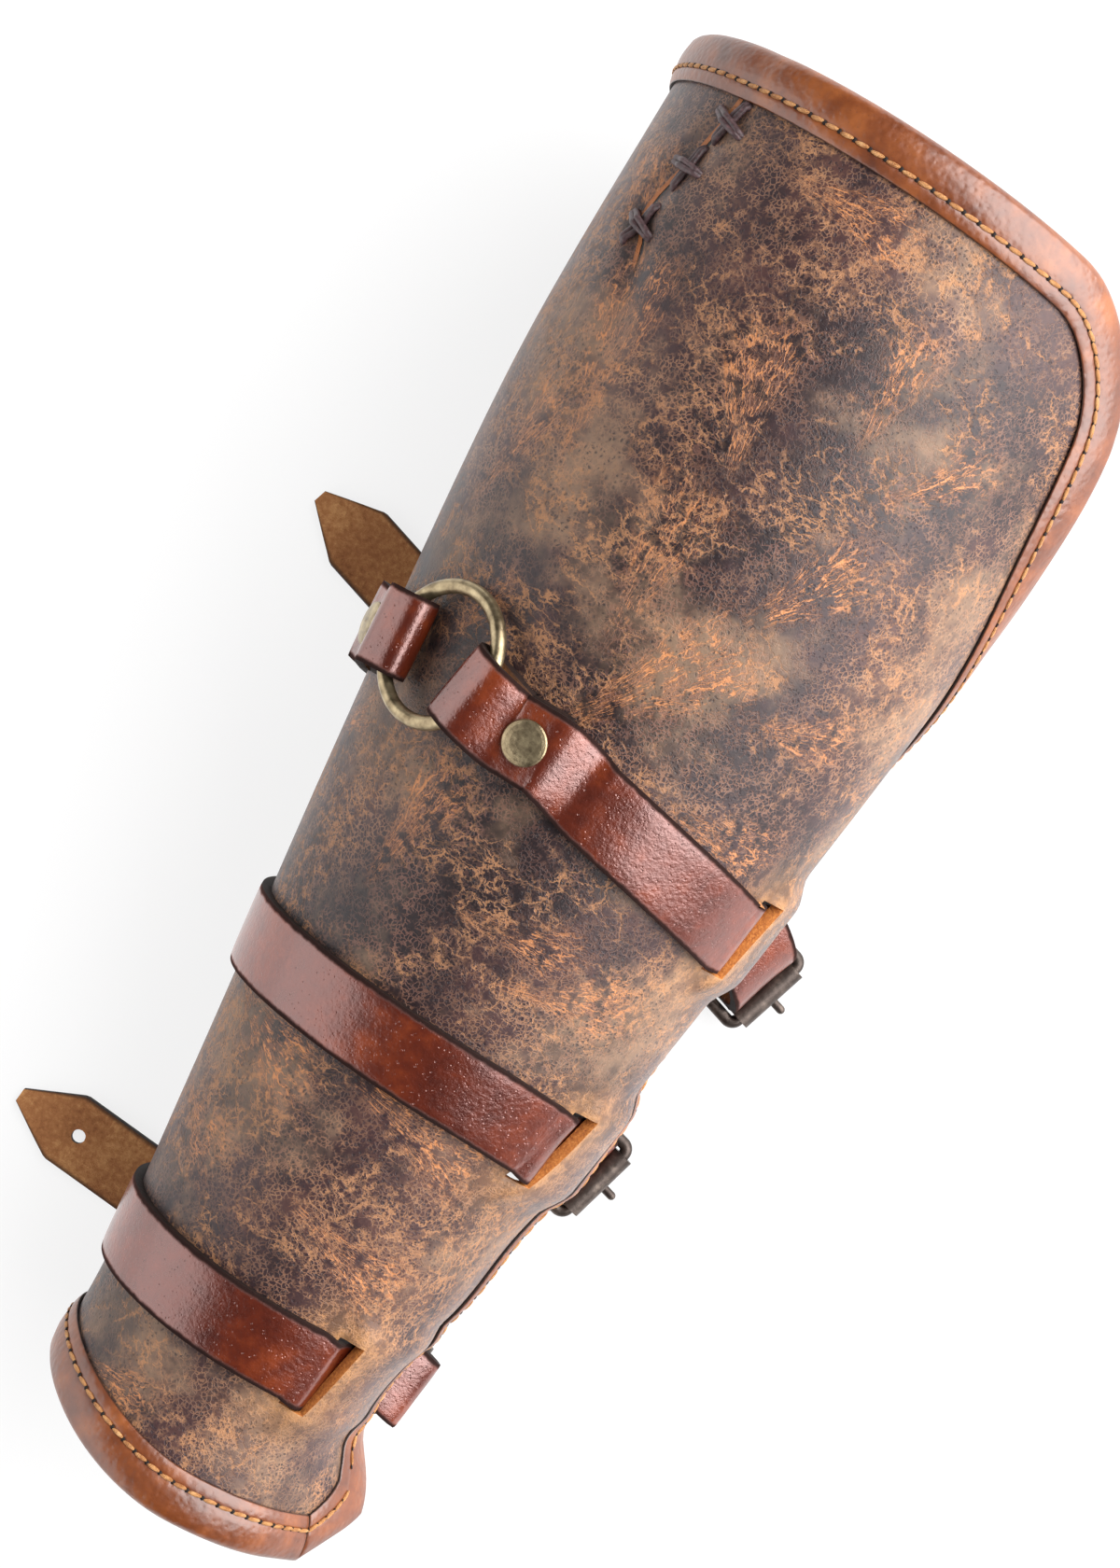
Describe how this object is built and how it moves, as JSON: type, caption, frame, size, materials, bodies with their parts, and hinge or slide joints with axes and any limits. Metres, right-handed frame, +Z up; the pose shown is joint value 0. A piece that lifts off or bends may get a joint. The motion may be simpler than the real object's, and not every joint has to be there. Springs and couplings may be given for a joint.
{
  "type": "leather bracer",
  "caption": "Long leather forearm bracer lying on its back, bound at the edges, laced at an elbow dart and closed by three buckled straps with a ring.",
  "frame": {"origin": "on the table under the middle of the whole object", "axes": "+Y from the wrist to the elbow along the forearm, +Z up, +X towards the buckled side"},
  "size_m": [0.1482, 0.3164, 0.1122],
  "materials": {
    "panel_leather": "distressed waxed pull-up",
    "binding_leather": "pebbled, waxed",
    "strap_leather": "glossy vegetable tanned",
    "waxed_lace": "waxed cord",
    "antique_brass": "aged, satin",
    "dark_bronze": "gunmetal plating, satin"
  },
  "bodies": {
    "bracer": {"shell_panel": "panel_leather", "side_and_elbow_binding": "binding_leather", "wrist_binding": "binding_leather", "dart_lacing": "waxed_lace", "upper_front_strap": "strap_leather", "upper_side_strap": "strap_leather", "front_strap_rivet": "antique_brass", "side_strap_rivet": "antique_brass", "middle_strap": "strap_leather", "wrist_strap": "strap_leather", "upper_chape_rivet": "antique_brass", "middle_chape_rivet": "antique_brass", "wrist_chape_rivet": "antique_brass"},
    "ring": {"strap_ring": "antique_brass"},
    "upper_frame": {"upper_buckle_frame": "dark_bronze"},
    "upper_roller": {"upper_buckle_roller": "dark_bronze"},
    "upper_prong": {"upper_buckle_prong": "dark_bronze"},
    "middle_frame": {"middle_buckle_frame": "dark_bronze"},
    "middle_roller": {"middle_buckle_roller": "dark_bronze"},
    "middle_prong": {"middle_buckle_prong": "dark_bronze"},
    "wrist_frame": {"wrist_buckle_frame": "dark_bronze"},
    "wrist_roller": {"wrist_buckle_roller": "dark_bronze"},
    "wrist_prong": {"wrist_buckle_prong": "dark_bronze"}
  },
  "joints": [
    {"name": "ring_turn", "type": "hinge", "parent": "bracer", "child": "ring", "pos_m": [-0.02794, 0.02177, 0.08965], "axis": [-0.6272, -0.0814, 0.7746], "continuous": true},
    {"name": "upper_frame_tilt", "type": "hinge", "parent": "bracer", "child": "upper_frame", "pos_m": [0.05644, -0.00046, 0.00685], "axis": [-0.2924, -0.9563, 0], "range_deg": [0, 3]},
    {"name": "upper_roller_spin", "type": "hinge", "parent": "upper_frame", "child": "upper_roller", "pos_m": [0.0683, -0.00408, 0.00685], "axis": [0.2924, 0.9563, 0], "continuous": true},
    {"name": "upper_prong_swing", "type": "hinge", "parent": "upper_frame", "child": "upper_prong", "pos_m": [0.05644, -0.00046, 0.00685], "axis": [0.2924, 0.9563, 0], "range_deg": [0, 2]},
    {"name": "middle_frame_tilt", "type": "hinge", "parent": "bracer", "child": "middle_frame", "pos_m": [0.04544, -0.05586, 0.00685], "axis": [-0.2588, -0.9659, 0], "range_deg": [0, 3]},
    {"name": "middle_roller_spin", "type": "hinge", "parent": "middle_frame", "child": "middle_roller", "pos_m": [0.05742, -0.05906, 0.00685], "axis": [0.2588, 0.9659, 0], "continuous": true},
    {"name": "middle_prong_swing", "type": "hinge", "parent": "middle_frame", "child": "middle_prong", "pos_m": [0.04544, -0.05586, 0.00685], "axis": [0.2588, 0.9659, 0], "range_deg": [0, 2]},
    {"name": "wrist_frame_tilt", "type": "hinge", "parent": "bracer", "child": "wrist_frame", "pos_m": [0.03034, -0.11646, 0.00685], "axis": [-0.0785, -0.9969, 0], "range_deg": [0, 2]},
    {"name": "wrist_roller_spin", "type": "hinge", "parent": "wrist_frame", "child": "wrist_roller", "pos_m": [0.0427, -0.11743, 0.00685], "axis": [0.0785, 0.9969, 0], "continuous": true},
    {"name": "wrist_prong_swing", "type": "hinge", "parent": "wrist_frame", "child": "wrist_prong", "pos_m": [0.03034, -0.11646, 0.00685], "axis": [0.0785, 0.9969, 0], "range_deg": [0, 2]}
  ]
}
